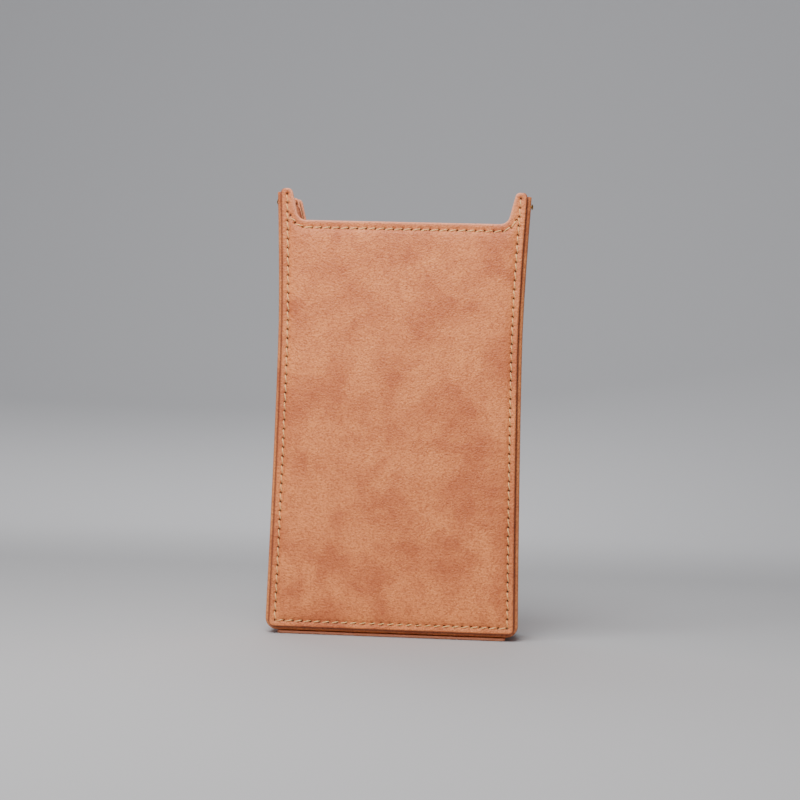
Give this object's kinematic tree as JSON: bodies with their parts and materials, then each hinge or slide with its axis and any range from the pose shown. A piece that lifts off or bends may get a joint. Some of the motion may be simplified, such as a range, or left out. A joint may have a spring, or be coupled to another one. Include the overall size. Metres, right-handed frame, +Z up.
{
  "type": "leather camera case",
  "caption": "Upright stitched leather ever ready case for a flat folding camera, with a scooped, horned back panel and a drop-down cover.",
  "frame": {"origin": "centre of the bounding box's base, on the surface that the case stands on", "axes": "+Z up the case to the horn tips, the plain stitched back panel faces -Y, the cover faces +Y, +X to the right when looking at the back panel"},
  "size_m": [0.1112, 0.0396, 0.1913],
  "materials": {
    "tan_leather": "smooth vegetable tanned leather, mottled tan, burnished cut edges",
    "gusset_leather": "smooth tan leather bent round the sides and base",
    "suede_lining": "napped suede",
    "fibre_board": "pressed fibre board",
    "felt_pad": "dense wool felt",
    "waxed_thread": "waxed cotton thread",
    "aged_brass": "aged brass"
  },
  "bodies": {
    "case": {"back_panel": "tan_leather", "back_stiffener": "fibre_board", "back_lining": "suede_lining", "gusset": "gusset_leather", "gusset_lining": "suede_lining", "bottom_pad": "felt_pad", "front_frame": "tan_leather", "back_panel_thread": "waxed_thread", "front_frame_thread": "waxed_thread", "base_strap": "tan_leather", "horn_rivet_left": "aged_brass", "horn_rivet_right": "aged_brass", "horn_washer_left": "aged_brass", "horn_washer_right": "aged_brass", "stud_post_left": "aged_brass", "stud_post_right": "aged_brass", "stud_eyelet_left": "aged_brass", "stud_eyelet_right": "aged_brass"},
    "cover": {"cover_panel": "tan_leather", "cover_stiffener": "fibre_board", "cover_lining": "suede_lining", "cover_thread": "waxed_thread", "hinge_bend": "tan_leather", "hinge_thread": "waxed_thread", "stud_cap_left": "aged_brass", "stud_cap_right": "aged_brass", "stud_socket_left": "aged_brass", "stud_socket_right": "aged_brass"}
  },
  "joints": [
    {"name": "cover_hinge", "type": "hinge", "parent": "case", "child": "cover", "pos_m": [0, 0.01716, 0.00189], "axis": [-1, 0, 0], "range_deg": [0, 90]}
  ]
}
